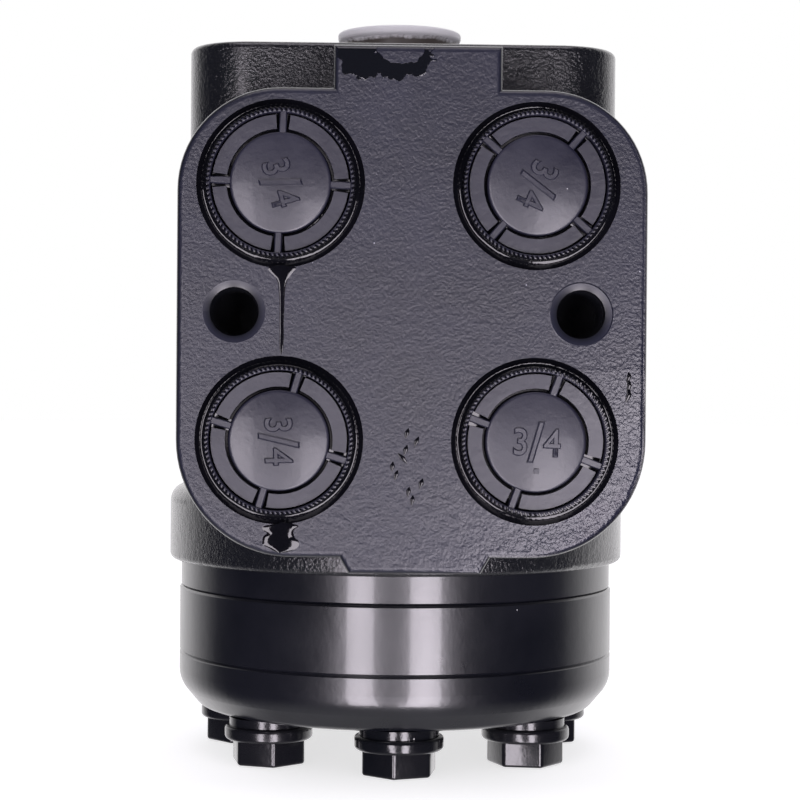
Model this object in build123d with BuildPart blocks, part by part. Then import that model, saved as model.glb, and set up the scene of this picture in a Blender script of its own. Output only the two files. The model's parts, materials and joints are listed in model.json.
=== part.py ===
from build123d import *
import os
from math import atan2, cos, hypot, pi, radians, sin, sqrt

# Orbital steering unit, all sizes in millimetres.
# The origin is the centre of the column face, +Z runs up to the steering column
# and the four ports face -Y.

# ---------------------------------------------------------------- stack along the axis
body_length = 98.0
plate_thickness = 5.4
ring_width = 13.0
cap_thickness = 10.8

body_bottom = -body_length
ring_top = body_bottom - plate_thickness
cap_top = ring_top - ring_width
cap_bottom = cap_top - cap_thickness

# ---------------------------------------------------------------- housing casting
column_flange = 80.2
column_corner = 11.5
flange_height = 22.0
skirt_height = 14.0
barrel_radius = 37.5
foot_radius = 45.5
foot_height = 15.0
foot_shoulder = 3.5
edge_round = 1.2

cast_shift = 0.8
face_distance = 63.0
block_width = 81.8
block_top = -11.5
block_bottom = -93.0
block_back = -11.0
block_corner_top = 17.8
block_corner_bottom = 20.4
block_back_chamfer = 4.0

neck_width = 29.3
neck_top = -4.0
tongue_width = 20.6
tongue_drop = 2.8
tongue_slope = 60.0
rib_shift = 0.7

# ---------------------------------------------------------------- ports and tapped holes
port_spacing = 44.4
port_level = -50.4
port_bore = 17.5
port_depth = 15.0
spotface_diameter = 29.2
spotface_depth = 1.0
seal_pocket_diameter = 20.8
seal_pocket_depth = 2.2

tapped_bore = 8.5
tapped_mouth = 10.8
mouth_angle = 138
face_hole_spacing = 60.2
face_hole_depth = 18.0
column_hole_circle = 82.5
column_hole_depth = 18.0

# ---------------------------------------------------------------- valve bore
fit = 0.03
bore_diameter = 38.0
neck_bore_diameter = 28.5
bearing_seat = -17.0
dust_recess_diameter = 36.4
dust_recess_depth = 5.2
seal_groove_diameter = 34.4
seal_groove_top = -9.6
seal_groove_height = 3.4

gallery_diameter = 50.0
gallery_height = 4.0
passage_diameter = 6.4
left_level = -27.6
right_level = -34.4
pressure_level = -69.4
tank_level = -77.4
meter_level = -88.5
channel_circle = 54.0
channel_diameter = 5.0

# ---------------------------------------------------------------- screws under the cap
screw_count = 7
screw_circle = 63.6
screw_diameter = 8.0
clearance_hole = 8.6
screw_reach = 14.0
tap_over_reach = 1.2
hex_size = 13.0
hex_height = 4.7
collar_diameter = 17.0
collar_height = 2.7
washer_diameter = 15.2
washer_thickness = 1.6
hex_turns = (19.7, -9.0, 25.0, 7.0, 40.0, 12.0, -20.0)

# ---------------------------------------------------------------- O-rings between sections
section_cord = 2.4
section_ring_circle = 77.6
groove_room = 0.15

# ---------------------------------------------------------------- gerotor
ring_diameter = 87.0
plate_diameter = 86.4
eccentricity = 3.6
lobe_count = 7
lobe_radius = 11.0
lobe_circle_radius = 36.0
gerotor_clearance = 0.09
valley_room = 0.2
side_clearance = 0.05
plate_window = 29.2
rim_break = 0.4
cap_chamfer_width = 4.2
cap_chamfer_height = 5.0
cap_shoulder_round = 6.0
cap_foot_round = 2.4
star_points_per_lobe = 14

# ---------------------------------------------------------------- valve set
sleeve_inner_diameter = 28.0
end_play = 0.2
sleeve_groove_depth = 1.0
sleeve_groove_width = 3.0
sleeve_hole = 3.0
meter_hole = 3.2
pin_diameter = 8.0
pin_length = 36.6
pin_level = -46.0
deflection = 8.0
spool_top = -0.8
spool_bore = 20.0
spline_depth = 20.0
spline_teeth = 12
spline_tip_diameter = 16.8
spline_root_diameter = 19.6
spline_space = 2.6
spool_slot_width = 2.8
spool_slot_depth = 1.2

leaf_thickness = 0.4
leaf_height = 6.4
leaf_length = 36.0
leaf_gap = 0.04
leaf_bow = 0.5
leaf_slot_width = 4.2
leaf_slot_height = 7.0
leaf_slot_start = 1.6
snap_ring_thickness = 0.8
snap_ring_height = 5.0
snap_ring_gap = 14.0

# ---------------------------------------------------------------- thrust bearing
race_thickness = 2.0
race_outer_diameter = 37.4
race_inner_diameter = 28.6
needle_diameter = 2.4
needle_length = 3.2
needle_count = 16
cage_thickness = 1.4

# ---------------------------------------------------------------- drive shaft and rotor spline
shaft_fork_radius = 8.3
shaft_fork_half = 7.0
fork_slot = 9.0
shaft_radius = 6.2
drive_teeth = 12
shaft_spline_radius = 10.6
shaft_spline_root = 8.7
shaft_tooth = 2.0
rotor_spline_radius = 11.2
rotor_spline_tip = 9.4
rotor_tooth = 2.3
shaft_head_length = 7.8
spacer_thickness = 1.9
spacer_radius = 8.9
spacer_to_head = 0.9

# ---------------------------------------------------------------- check valve
check_screw = 6
ball_diameter = 8.5
check_bore = 10.0
check_bore_top = -76.0
check_seat = 6.0
ball_travel = 2.0
bush_length = 11.0
stop_pin_diameter = 3.0
stop_gap = 0.3
pin_screw_reach = 10.0

# ---------------------------------------------------------------- plugs and cover
plug_rim_diameter = 25.8
plug_rim_wall = 0.8
plug_proud = 2.4
plug_pocket_depth = 2.4
plug_disc_diameter = 17.4
plug_disc_drop = 0.15
plug_web = 1.5
plug_web_drop = 0.7
plug_shank_diameter = 17.2
plug_shank_length = 9.0
plug_shank_wall = 1.5
plug_neck_diameter = 16.4
plug_cord = 1.8
plug_turns = {"upper_left": -2.0, "upper_right": -41.0, "lower_left": -16.5, "lower_right": 70.0}

cover_diameter = 25.0
cover_height = 9.1
cover_round = 3.0
cover_wall = 1.4
cover_stem_length = 9.0
stem_clearance = 0.15

# ---------------------------------------------------------------- derived places
bore_radius = bore_diameter / 2
screw_radius = screw_circle / 2
screw_step = 360 / screw_count
screw_angles = [-90 + screw_step * index for index in range(screw_count)]
valley_angles = [angle + screw_step / 2 for angle in screw_angles]
check_angle = screw_angles[check_screw]
screw_end = body_bottom + screw_reach
screw_head_top = cap_bottom - washer_thickness
sleeve_outer = bore_radius - fit
sleeve_inner = sleeve_inner_diameter / 2
spool_radius = sleeve_inner - fit
cage_top = bearing_seat - race_thickness - side_clearance
cage_middle = cage_top - needle_diameter / 2
lower_race_top = cage_top - needle_diameter - side_clearance
sleeve_top = lower_race_top - race_thickness
sleeve_bottom = body_bottom + end_play
spring_level = sleeve_top - leaf_slot_start - leaf_slot_height / 2
spacer_top = cap_top + side_clearance + spacer_thickness
head_middle = spacer_top + spacer_to_head + shaft_head_length / 2
shaft_drop = pin_level - head_middle
shaft_span = hypot(shaft_drop, eccentricity)
groove_depth = section_cord + groove_room
port_places = {
    "upper_left": (-port_spacing / 2, port_level + port_spacing / 2),
    "upper_right": (port_spacing / 2, port_level + port_spacing / 2),
    "lower_left": (-port_spacing / 2, port_level - port_spacing / 2),
    "lower_right": (port_spacing / 2, port_level - port_spacing / 2),
}
passage_levels = {
    "upper_left": left_level,
    "upper_right": right_level,
    "lower_left": pressure_level,
    "lower_right": tank_level,
}

os.makedirs("parts", exist_ok=True)


def around(angle, radius, level=0.0):
    """Point at an angle in degrees and a radius about the main axis."""
    return Vector(radius * cos(radians(angle)), radius * sin(radians(angle)), level)


def save(builder, name):
    builder.part.label = name
    export_step(builder.part, f"parts/{name}.step")


def disc(radius, top, bottom, mode=Mode.ADD):
    """Round disc about the main axis between two levels."""
    with BuildSketch(Plane.XY.offset(bottom)) as face:
        Circle(radius)
    extrude(face.sketch, amount=top - bottom, mode=mode)


def holes_on_circle(radius, circle_radius, angles, top, bottom, mode=Mode.SUBTRACT):
    """Holes or pegs parallel to the axis, spread round a circle."""
    with BuildSketch(Plane.XY.offset(bottom)) as face:
        for angle in angles:
            with Locations(around(angle, circle_radius)):
                Circle(radius)
    extrude(face.sketch, amount=top - bottom, mode=mode)


def radial_holes(radius, level, angles, start, end):
    """Round drillings that run outwards from the axis."""
    for angle in angles:
        wall = Plane(origin=around(angle, start, level), z_dir=around(angle, 1))
        with BuildSketch(wall) as face:
            Circle(radius)
        extrude(face.sketch, amount=end - start, mode=Mode.SUBTRACT)


def spread(count, start=0.0):
    return [start + 360 / count * index for index in range(count)]


def break_rims(builder, radius, level):
    """A broken edge on the outer rim of a turned disc, at one level."""
    circles = builder.edges().filter_by(GeomType.CIRCLE)
    rims = [edge for edge in circles if edge.radius > radius - fit and abs(edge.center().Z - level) < fit]
    chamfer(rims, length=rim_break)


def cord_groove(top, bottom):
    """Ring groove for a section O-ring."""
    middle = section_ring_circle / 2
    half = section_cord / 2 + groove_room
    with BuildSketch(Plane.XY.offset(bottom)) as face:
        Circle(middle + half)
        Circle(middle - half, mode=Mode.SUBTRACT)
    extrude(face.sketch, amount=top - bottom, mode=Mode.SUBTRACT)


def cord_ring(level, circle_radius, cord):
    """O-ring about the main axis, its centre at the given level."""
    with BuildPart() as ring:
        with BuildSketch(Plane.XZ):
            with Locations((circle_radius, level)):
                Circle(cord / 2)
        revolve(axis=Axis.Z)
    return ring


# ---------------------------------------------------------------- housing
face_plane = Plane.XZ.offset(face_distance)
block_height = block_top - block_bottom

with BuildPart() as housing:
    # Port block with its neck up to the column flange and its tongue down to the foot
    with BuildSketch(face_plane):
        with Locations((cast_shift, block_bottom + block_height / 2)):
            Rectangle(block_width, block_height)
    extrude(amount=-(face_distance + block_back))
    corners = housing.edges().filter_by(Axis.Y)
    fillet(corners.group_by(Axis.Z)[-1], radius=block_corner_top)
    corners = housing.edges().filter_by(Axis.Y)
    fillet(corners.group_by(Axis.Z)[0], radius=block_corner_bottom)
    chamfer(housing.faces().sort_by(Axis.Y)[-1].edges(), length=block_back_chamfer)
    with BuildSketch(face_plane):
        with Locations((cast_shift + rib_shift, (neck_top + port_level) / 2)):
            Rectangle(neck_width, neck_top - port_level)
        with Locations((cast_shift + rib_shift, block_bottom - tongue_drop / 2)):
            Trapezoid(tongue_width + 2 * tongue_drop, tongue_drop, tongue_slope, rotation=180)
    extrude(amount=-(face_distance + block_back))
    fillet(housing.faces().sort_by(Axis.Y)[0].edges(), radius=edge_round)

    # Square column flange, drawn in to the round barrel
    with BuildSketch(Plane.XY.offset(-flange_height)):
        RectangleRounded(column_flange, column_flange, column_corner)
    extrude(amount=flange_height)
    fillet(housing.faces().sort_by(Axis.Z)[-1].edges(), radius=edge_round)
    with BuildSketch(Plane.XY.offset(-flange_height)):
        RectangleRounded(column_flange, column_flange, column_corner)
    with BuildSketch(Plane.XY.offset(-flange_height - skirt_height)):
        Circle(barrel_radius)
    loft()

    # Barrel and foot, turned in one profile
    foot_top = body_bottom + foot_height
    with BuildSketch(Plane.XZ):
        with BuildLine():
            Polyline(
                (0, -flange_height),
                (barrel_radius, -flange_height),
                (barrel_radius, foot_top),
                (foot_radius, foot_top),
                (foot_radius, body_bottom),
                (0, body_bottom),
                close=True,
            )
        make_face()
        profile_corners = vertices().filter_by(lambda corner: corner.X > barrel_radius + 1)
        fillet(profile_corners.group_by(Axis.Y)[-1], radius=foot_shoulder)
        fillet(vertices().sort_by(Axis.X).group_by(Axis.X)[-1].group_by(Axis.Y)[0], radius=edge_round)
    revolve(axis=Axis.Z)

    # Valve bore, stepped from the column face down
    disc(dust_recess_diameter / 2, 0, -dust_recess_depth, Mode.SUBTRACT)
    disc(neck_bore_diameter / 2, 0, bearing_seat, Mode.SUBTRACT)
    disc(seal_groove_diameter / 2, seal_groove_top, seal_groove_top - seal_groove_height, Mode.SUBTRACT)
    disc(bore_radius, bearing_seat, body_bottom, Mode.SUBTRACT)
    for level in passage_levels.values():
        disc(gallery_diameter / 2, level + gallery_height / 2, level - gallery_height / 2, Mode.SUBTRACT)

    # Channels to the gerotor, each with a drilling in from the bore
    channel_radius = channel_diameter / 2
    holes_on_circle(
        channel_radius, channel_circle / 2, valley_angles, meter_level + channel_radius, body_bottom
    )
    radial_holes(channel_radius - 0.3, meter_level, valley_angles, bore_radius - 2, channel_circle / 2)

    # Ports: spotface, seal pocket, threaded bore and the passage to its gallery
    for place, (across, level) in port_places.items():
        mouth = Plane(origin=(across, -face_distance, level), x_dir=(1, 0, 0), z_dir=(0, -1, 0))
        for radius, depth in (
            (spotface_diameter / 2, spotface_depth),
            (seal_pocket_diameter / 2, spotface_depth + seal_pocket_depth),
            (port_bore / 2, port_depth),
        ):
            with BuildSketch(mouth):
                Circle(radius)
            extrude(amount=-depth, mode=Mode.SUBTRACT)
        drilling = Plane(
            origin=(across, -face_distance + port_depth, passage_levels[place]), z_dir=(0, 1, 0)
        )
        with BuildSketch(drilling):
            Circle(passage_diameter / 2)
        extrude(amount=face_distance - port_depth, mode=Mode.SUBTRACT)

    # Tapped holes in the port face and in the column face
    for side in (-1, 1):
        spot = Plane(
            origin=(side * face_hole_spacing / 2, -face_distance, port_level),
            x_dir=(1, 0, 0),
            z_dir=(0, -1, 0),
        )
        with Locations(spot):
            CounterSinkHole(tapped_bore / 2, tapped_mouth / 2, face_hole_depth, mouth_angle)
    for angle in spread(4, 45):
        with Locations(around(angle, column_hole_circle / 2)):
            CounterSinkHole(tapped_bore / 2, tapped_mouth / 2, column_hole_depth, mouth_angle)

    # Tapped holes for the cap screws and the check valve above one of them
    plain_angles = [angle for index, angle in enumerate(screw_angles) if index != check_screw]
    screw_hole = screw_diameter / 2 + fit
    holes_on_circle(screw_hole, screw_radius, plain_angles, screw_end + tap_over_reach, body_bottom)
    holes_on_circle(check_bore / 2, screw_radius, [check_angle], check_bore_top, body_bottom)
    holes_on_circle(
        check_seat / 2, screw_radius, [check_angle], pressure_level - 1, check_bore_top - 1
    )
    radial_holes(2.0, tank_level, [check_angle], gallery_diameter / 2 - 2, screw_radius)
    cord_groove(body_bottom + groove_depth, body_bottom)

save(housing, "housing")

# ---------------------------------------------------------------- distributor plate
with BuildPart() as distributor_plate:
    disc(plate_diameter / 2, body_bottom, ring_top)
    disc(plate_window / 2, body_bottom, ring_top, Mode.SUBTRACT)
    holes_on_circle(clearance_hole / 2, screw_radius, screw_angles, body_bottom, ring_top)
    holes_on_circle(channel_diameter / 2, channel_circle / 2, valley_angles, body_bottom, ring_top)
    break_rims(distributor_plate, plate_diameter / 2, ring_top)
save(distributor_plate, "distributor_plate")

# ---------------------------------------------------------------- gerotor ring
valley_radius = lobe_circle_radius - lobe_radius + 2 * eccentricity + valley_room

with BuildPart() as gerotor_ring:
    with BuildSketch(Plane.XY.offset(cap_top)):
        Circle(ring_diameter / 2)
        with BuildSketch(mode=Mode.PRIVATE) as cavity:
            Circle(valley_radius)
            for angle in screw_angles:
                with Locations(around(angle, lobe_circle_radius)):
                    Circle(lobe_radius, mode=Mode.SUBTRACT)
        add(cavity.sketch, mode=Mode.SUBTRACT)
        for angle in screw_angles:
            with Locations(around(angle, screw_radius)):
                Circle(clearance_hole / 2, mode=Mode.SUBTRACT)
    extrude(amount=ring_width)
    cord_groove(ring_top, ring_top - groove_depth)
    cord_groove(cap_top + groove_depth, cap_top)
    break_rims(gerotor_ring, ring_diameter / 2, cap_top)
    break_rims(gerotor_ring, ring_diameter / 2, ring_top)
save(gerotor_ring, "gerotor_ring")

# ---------------------------------------------------------------- end cap
with BuildPart() as end_cap:
    disc(ring_diameter / 2, cap_top, cap_bottom)
    lower_rim = end_cap.faces().sort_by(Axis.Z)[0]
    chamfer(lower_rim.edges(), length=cap_chamfer_width, length2=cap_chamfer_height, reference=lower_rim)
    cap_rims = end_cap.edges().filter_by(GeomType.CIRCLE).sort_by(Axis.Z)
    fillet(cap_rims[1], radius=cap_shoulder_round)
    fillet(end_cap.edges().filter_by(GeomType.CIRCLE).sort_by(Axis.Z)[0], radius=cap_foot_round)
    break_rims(end_cap, ring_diameter / 2, cap_top)
    holes_on_circle(clearance_hole / 2, screw_radius, screw_angles, cap_top, cap_bottom)
save(end_cap, "end_cap")


# ---------------------------------------------------------------- screws and washers
def collar_screw(index, tip):
    """One hex screw with its round collar, pointing up to its tip, at its place in the circle."""
    place = Plane(origin=around(screw_angles[index], screw_radius, screw_head_top))
    with BuildPart(place) as screw:
        with BuildSketch(place.offset(-collar_height)):
            Circle(collar_diameter / 2)
        extrude(amount=collar_height)
        fillet(screw.edges(), radius=collar_height * 0.3)
        with BuildSketch(place.offset(-collar_height - hex_height)):
            RegularPolygon(hex_size / 2, 6, major_radius=False, rotation=hex_turns[index])
        extrude(amount=hex_height)
        with BuildSketch(place):
            Circle(screw_diameter / 2 - fit)
        extrude(amount=tip - screw_head_top)
    return screw


with BuildPart() as end_screws:
    for index in range(screw_count):
        if index != check_screw:
            add(collar_screw(index, screw_end).part)
save(end_screws, "end_screws")

ball_radius = ball_diameter / 2
seat_contact = sqrt(ball_radius**2 - (check_seat / 2) ** 2)
ball_level = check_bore_top - seat_contact - ball_travel
pin_screw_end = body_bottom + pin_screw_reach
with BuildPart() as pin_screw:
    add(collar_screw(check_screw, pin_screw_end).part)
    with BuildSketch(Plane(origin=around(check_angle, screw_radius, pin_screw_end))):
        Circle(stop_pin_diameter / 2)
    extrude(amount=ball_level - ball_radius - stop_gap - pin_screw_end)
save(pin_screw, "pin_screw")

with BuildPart() as screw_washers:
    holes_on_circle(
        washer_diameter / 2, screw_radius, screw_angles, cap_bottom, screw_head_top, Mode.ADD
    )
    holes_on_circle(clearance_hole / 2, screw_radius, screw_angles, cap_bottom, screw_head_top)
save(screw_washers, "screw_washers")

# ---------------------------------------------------------------- section O-rings
for name, level in (
    ("body_o_ring", body_bottom + groove_depth / 2),
    ("ring_o_ring_upper", ring_top - groove_depth / 2),
    ("ring_o_ring_lower", cap_top + groove_depth / 2),
):
    save(cord_ring(level, section_ring_circle / 2, section_cord), name)

# ---------------------------------------------------------------- thrust bearing
for name, top in (("thrust_race_upper", bearing_seat), ("thrust_race_lower", lower_race_top)):
    with BuildPart() as race:
        disc(race_outer_diameter / 2, top, top - race_thickness)
        disc(race_inner_diameter / 2, top, top - race_thickness, Mode.SUBTRACT)
    save(race, name)

race_middle = (race_outer_diameter + race_inner_diameter) / 4
with BuildPart() as needle_cage:
    half = cage_thickness / 2
    disc(race_outer_diameter / 2, cage_middle + half, cage_middle - half)
    disc(race_inner_diameter / 2, cage_middle + half, cage_middle - half, Mode.SUBTRACT)
    with BuildSketch(Plane.XY.offset(cage_middle - half)):
        with PolarLocations(race_middle, needle_count):
            Rectangle(needle_length + 0.1, needle_diameter + 0.1)
    extrude(amount=cage_thickness, mode=Mode.SUBTRACT)
    for angle in spread(needle_count):
        inner_end = around(angle, race_middle - needle_length / 2, cage_middle)
        with BuildSketch(Plane(origin=inner_end, z_dir=around(angle, 1))):
            Circle(needle_diameter / 2)
        extrude(amount=needle_length)
save(needle_cage, "needle_cage")

# ---------------------------------------------------------------- seals round the spool neck
with BuildPart() as shaft_seal:
    seal_middle = seal_groove_top - seal_groove_height / 2
    seal_half = seal_groove_height / 2 - 0.15
    outer = seal_groove_diameter / 2 - fit
    inner = neck_bore_diameter / 2
    lip = spool_radius + fit
    with BuildSketch(Plane.XZ):
        with BuildLine():
            Polyline(
                (outer, seal_middle + seal_half),
                (outer, seal_middle - seal_half),
                (inner, seal_middle - seal_half),
                (lip, seal_middle - 0.4),
                (lip, seal_middle + 0.4),
                (inner, seal_middle + seal_half),
                close=True,
            )
        make_face()
    revolve(axis=Axis.Z)
save(shaft_seal, "shaft_seal")

with BuildPart() as dust_seal:
    dust_outer = dust_recess_diameter / 2 - fit
    dust_top = -0.4
    with BuildSketch(Plane.XZ):
        with BuildLine():
            Polyline(
                (dust_outer, dust_top),
                (dust_outer, -dust_recess_depth),
                (inner + 0.6, -dust_recess_depth),
                (inner + 0.6, dust_top - 2.2),
                (lip, dust_top - 1.2),
                (lip, dust_top - 0.6),
                (inner + 0.4, dust_top),
                close=True,
            )
        make_face()
    revolve(axis=Axis.Z)
save(dust_seal, "dust_seal")

# ---------------------------------------------------------------- check valve
with BuildPart() as check_ball:
    with Locations(around(check_angle, screw_radius, ball_level)):
        Sphere(ball_radius)
save(check_ball, "check_ball")

with BuildPart() as check_bush:
    bush_bottom = body_bottom + 0.3
    holes_on_circle(
        check_bore / 2 - fit, screw_radius, [check_angle], bush_bottom + bush_length, bush_bottom,
        Mode.ADD,
    )
    holes_on_circle(
        screw_diameter / 2, screw_radius, [check_angle], bush_bottom + bush_length, bush_bottom
    )
save(check_bush, "check_bush")

# ---------------------------------------------------------------- sleeve
levels = (left_level, right_level, pressure_level, tank_level)
with BuildPart() as sleeve:
    disc(sleeve_outer, sleeve_top, sleeve_bottom)
    for level in levels:
        with BuildSketch(Plane.XY.offset(level - sleeve_groove_width / 2)):
            Circle(sleeve_outer)
            Circle(sleeve_outer - sleeve_groove_depth, mode=Mode.SUBTRACT)
        extrude(amount=sleeve_groove_width, mode=Mode.SUBTRACT)
    with BuildSketch(Plane.XY.offset(spring_level - snap_ring_height / 2 - groove_room)):
        Circle(sleeve_outer)
        Circle(sleeve_outer - snap_ring_thickness - 2 * fit, mode=Mode.SUBTRACT)
    extrude(amount=snap_ring_height + 2 * groove_room, mode=Mode.SUBTRACT)
    disc(sleeve_inner, sleeve_top, sleeve_bottom, Mode.SUBTRACT)
    for level, start in zip(levels, (0, 30, 0, 30)):
        radial_holes(sleeve_hole / 2, level, spread(6, start), sleeve_inner - 1, sleeve_outer)
    radial_holes(meter_hole / 2, meter_level, spread(12), sleeve_inner - 1, sleeve_outer)
    radial_holes(pin_diameter / 2 + fit / 3, pin_level, (0, 180), sleeve_inner - 1, sleeve_outer + 1)
    with BuildSketch(Plane.XY.offset(sleeve_top)):
        Rectangle(leaf_slot_width, 2 * bore_diameter)
    extrude(amount=-leaf_slot_start - leaf_slot_height, mode=Mode.SUBTRACT)
save(sleeve, "sleeve")

with BuildPart() as cross_pin:
    with BuildSketch(Plane.YZ.offset(-pin_length / 2)):
        with Locations((0, pin_level)):
            Circle(pin_diameter / 2)
    extrude(amount=pin_length)
    chamfer(cross_pin.edges().filter_by(GeomType.CIRCLE), length=0.6)
save(cross_pin, "cross_pin")

with BuildPart() as spring_ring:
    with BuildSketch(Plane.XY.offset(spring_level - snap_ring_height / 2)):
        Circle(sleeve_outer - fit)
        Circle(sleeve_outer - fit - snap_ring_thickness, mode=Mode.SUBTRACT)
        with Locations((-bore_radius, 0)):
            Rectangle(snap_ring_gap / 2, snap_ring_gap / 2, mode=Mode.SUBTRACT)
    extrude(amount=snap_ring_height)
save(spring_ring, "spring_ring")

# ---------------------------------------------------------------- leaf springs
with BuildPart() as leaf_springs:
    with BuildSketch(Plane.XY.offset(spring_level - leaf_height / 2)):
        for side in (-1, 1):
            inner_face = leaf_gap / 2
            with Locations((side * (inner_face + leaf_thickness / 2), 0)):
                Rectangle(leaf_thickness, leaf_length)
            for _ in range(2):
                inner_face += leaf_thickness + leaf_gap
                near, far = inner_face, inner_face + leaf_thickness
                with BuildLine():
                    half = leaf_length / 2
                    inside = ThreePointArc(
                        (side * (near + leaf_bow), -half), (side * near, 0), (side * (near + leaf_bow), half)
                    )
                    outside = ThreePointArc(
                        (side * (far + leaf_bow), -half), (side * far, 0), (side * (far + leaf_bow), half)
                    )
                    Line(inside @ 0, outside @ 0)
                    Line(inside @ 1, outside @ 1)
                make_face()
    extrude(amount=leaf_height)
save(leaf_springs, "leaf_springs")

# ---------------------------------------------------------------- spool
pin_window = spool_radius * sin(radians(deflection)) + pin_diameter / 2 + 0.25
with BuildPart() as spool:
    disc(spool_radius, spool_top, sleeve_bottom + end_play)
    chamfer(spool.faces().sort_by(Axis.Z)[-1].edges(), length=0.6)
    disc(spool_bore / 2, spool_top - spline_depth, sleeve_bottom, Mode.SUBTRACT)
    with BuildSketch(Plane.XY.offset(spool_top - spline_depth)):
        Circle(spline_tip_diameter / 2)
        tooth_depth = (spline_root_diameter - spline_tip_diameter) / 2
        with PolarLocations(spline_root_diameter / 2 - tooth_depth / 2 - 0.2, spline_teeth):
            Rectangle(tooth_depth + 0.4, spline_space)
    extrude(amount=spline_depth, mode=Mode.SUBTRACT)
    radial_holes(pin_window, pin_level, (0, 180), 2, sleeve_outer)
    with BuildSketch(Plane.XY.offset(spring_level - leaf_slot_height / 2)):
        Rectangle(leaf_slot_width, 2 * bore_diameter)
    extrude(amount=leaf_slot_height, mode=Mode.SUBTRACT)
    # Six long grooves feed the cylinder ports, six short ones meter to the gerotor
    for top, bottom, start in (
        (pin_level - pin_window - 4, pressure_level - 3, 0),
        (tank_level + 2, meter_level - 3, 30),
    ):
        groove_middle = spool_radius - spool_slot_depth / 2 + 0.5
        with BuildSketch(Plane.XY.offset(bottom)):
            with PolarLocations(groove_middle, 6, start_angle=start):
                Rectangle(spool_slot_depth + 1, spool_slot_width)
        extrude(amount=top - bottom, mode=Mode.SUBTRACT)
    radial_holes(2.0, tank_level + 5, spread(6), 2, sleeve_outer)
save(spool, "spool")

# ---------------------------------------------------------------- drive shaft
tilt_axis = Vector(0, eccentricity, shaft_drop).normalized()
pivot = Plane(origin=(0, 0, pin_level), x_dir=(1, 0, 0), z_dir=tilt_axis)
head_half = shaft_head_length / 2

with BuildPart() as drive_shaft:
    with BuildSketch(pivot.offset(-shaft_fork_half)):
        Circle(shaft_fork_radius)
    extrude(amount=2 * shaft_fork_half)
    fillet(drive_shaft.edges(), radius=0.8)
    with BuildSketch(pivot.offset(-shaft_span)):
        Circle(shaft_radius)
    extrude(amount=shaft_span - shaft_fork_half)
    # Slot that straddles the cross pin
    with BuildSketch(Plane(origin=(0, 0, pin_level), x_dir=tilt_axis, z_dir=(1, 0, 0))):
        Circle(fork_slot / 2)
        with Locations((shaft_fork_half, 0)):
            Rectangle(2 * shaft_fork_half, fork_slot)
    extrude(amount=shaft_fork_radius + 1, both=True, mode=Mode.SUBTRACT)
    # Crowned spline head that drives the rotor
    with BuildPart(mode=Mode.PRIVATE) as head:
        with BuildSketch(pivot.offset(-shaft_span - head_half)):
            Circle(shaft_spline_root)
            tooth_height = shaft_spline_radius - shaft_spline_root
            with PolarLocations(shaft_spline_radius - tooth_height / 2 - 0.2, drive_teeth):
                Rectangle(tooth_height + 0.4, shaft_tooth)
        extrude(amount=shaft_head_length)
        with Locations(pivot.offset(-shaft_span)):
            Sphere(sqrt(shaft_spline_radius**2 + (head_half * 0.75) ** 2), mode=Mode.INTERSECT)
    add(head.part)
save(drive_shaft, "drive_shaft")

with BuildPart() as drive_spacer:
    with BuildSketch(Plane.XY.offset(cap_top + side_clearance)):
        with Locations((0, -eccentricity)):
            Circle(spacer_radius)
    extrude(amount=spacer_thickness)
save(drive_spacer, "drive_spacer")


# ---------------------------------------------------------------- rotor
def star_point(angle):
    """Point of the star's outline: the envelope of the ring's round lobes."""
    teeth = lobe_count - 1
    ratio = lobe_circle_radius / (eccentricity * lobe_count)
    swing = -atan2(sin(teeth * angle), ratio - cos(teeth * angle))
    reach = lobe_radius + gerotor_clearance
    x = lobe_circle_radius * cos(angle) - reach * cos(angle + swing)
    y = lobe_circle_radius * sin(angle) - reach * sin(angle + swing)
    return (
        x - eccentricity * cos(lobe_count * angle),
        y - eccentricity * sin(lobe_count * angle),
    )


star_lobes = lobe_count - 1
star_pitch = 2 * pi / star_lobes
rotor_plane = Plane(origin=(0, -eccentricity, cap_top + side_clearance), x_dir=(0, -1, 0), z_dir=(0, 0, 1))
rotor_width = ring_width - 2 * side_clearance

with BuildPart() as rotor:
    with BuildSketch(rotor_plane):
        with BuildLine():
            for lobe in range(star_lobes):
                tip = lobe * star_pitch
                next_tip = tip + star_pitch
                steps = range(star_points_per_lobe + 1)
                flank = [star_point(tip + star_pitch * step / star_points_per_lobe) for step in steps]
                ends = ((-sin(tip), cos(tip)), (-sin(next_tip), cos(next_tip)))
                Spline(*flank, tangents=ends)
        make_face()
    extrude(amount=rotor_width)
    with BuildSketch(rotor_plane):
        Circle(rotor_spline_radius)
        tooth_height = rotor_spline_radius - rotor_spline_tip
        with PolarLocations(rotor_spline_radius - tooth_height / 2 + 0.2, drive_teeth, start_angle=15):
            Rectangle(tooth_height + 0.4, rotor_tooth, mode=Mode.SUBTRACT)
    extrude(amount=rotor_width, mode=Mode.SUBTRACT)
save(rotor, "rotor")

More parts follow.
